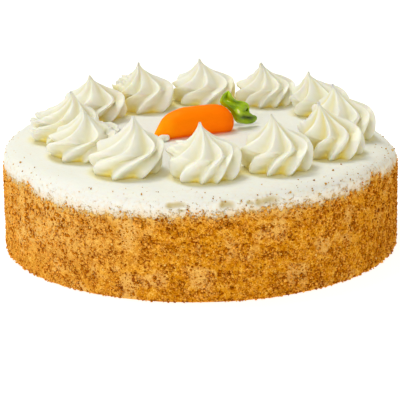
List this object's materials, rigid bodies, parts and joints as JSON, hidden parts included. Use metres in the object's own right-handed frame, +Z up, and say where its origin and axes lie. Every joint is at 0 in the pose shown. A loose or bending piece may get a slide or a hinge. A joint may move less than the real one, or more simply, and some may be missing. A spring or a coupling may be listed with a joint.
{
  "type": "carrot cake",
  "caption": "Whole round carrot cake: cream on top and sides, a crumb coat round the side, piped cream swirls in a ring on top and a sugar carrot with green leaves in the middle.",
  "frame": {"origin": "centre of the cake's underside, where it rests", "axes": "+Z up through the middle of the cake; +X to the right and -Y towards the viewer, with the sugar carrot's tip pointing to -X"},
  "size_m": [0.25, 0.25, 0.1005],
  "materials": {
    "crumb_coat": "golden-brown cake crumbs pressed into cream",
    "piped_cream": "soft satin ivory cream",
    "orange_sugar": "smooth satin orange sugar paste",
    "green_sugar": "glossy green icing"
  },
  "bodies": {
    "root": {"cake": "crumb_coat", "swirl_01": "piped_cream", "swirl_02": "piped_cream", "swirl_03": "piped_cream", "swirl_04": "piped_cream", "swirl_05": "piped_cream", "swirl_06": "piped_cream", "swirl_07": "piped_cream", "swirl_08": "piped_cream", "swirl_09": "piped_cream", "swirl_10": "piped_cream", "swirl_11": "piped_cream", "swirl_12": "piped_cream", "carrot": "orange_sugar", "leaves": "green_sugar", "cream_dab": "piped_cream"}
  },
  "joints": []
}
